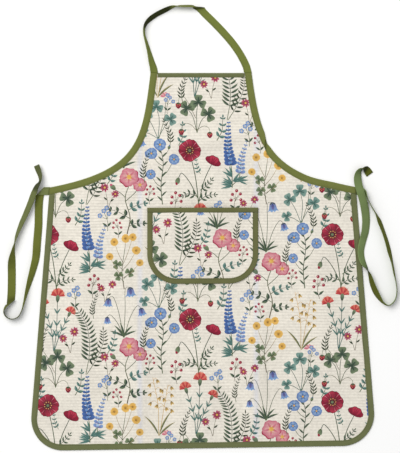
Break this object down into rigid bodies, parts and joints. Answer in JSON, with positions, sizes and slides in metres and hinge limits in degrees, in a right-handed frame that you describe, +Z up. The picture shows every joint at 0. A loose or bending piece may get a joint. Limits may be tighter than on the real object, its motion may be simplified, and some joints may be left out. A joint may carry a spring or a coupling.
{
  "type": "bib apron",
  "caption": "Bib apron of printed cotton with bound edges, a rounded patch pocket, a neck loop and side ties, laid flat with its front up.",
  "frame": {"origin": "on the plane that the apron lies on, under the middle of the apron with its neck loop", "axes": "+X across the apron to its wearer's left, +Y from the hem to the bib, +Z up out of its front"},
  "size_m": [0.8032, 0.9084, 0.019],
  "materials": {
    "printed_cotton": "ribbed cotton with a printed meadow pattern",
    "binding": "folded twill binding, grey green",
    "armhole_tape": "folded twill tape, olive green",
    "tie_tape": "folded twill tape, olive green"
  },
  "bodies": {
    "root": {"body_panel": "printed_cotton", "hem_binding": "binding", "bib_binding": "binding", "armhole_binding_left": "armhole_tape", "armhole_binding_right": "armhole_tape", "neck_loop": "armhole_tape", "tie_left": "tie_tape", "tie_right": "tie_tape", "pocket_panel": "printed_cotton", "pocket_mouth_binding": "binding", "pocket_rim_binding": "binding"}
  },
  "joints": []
}
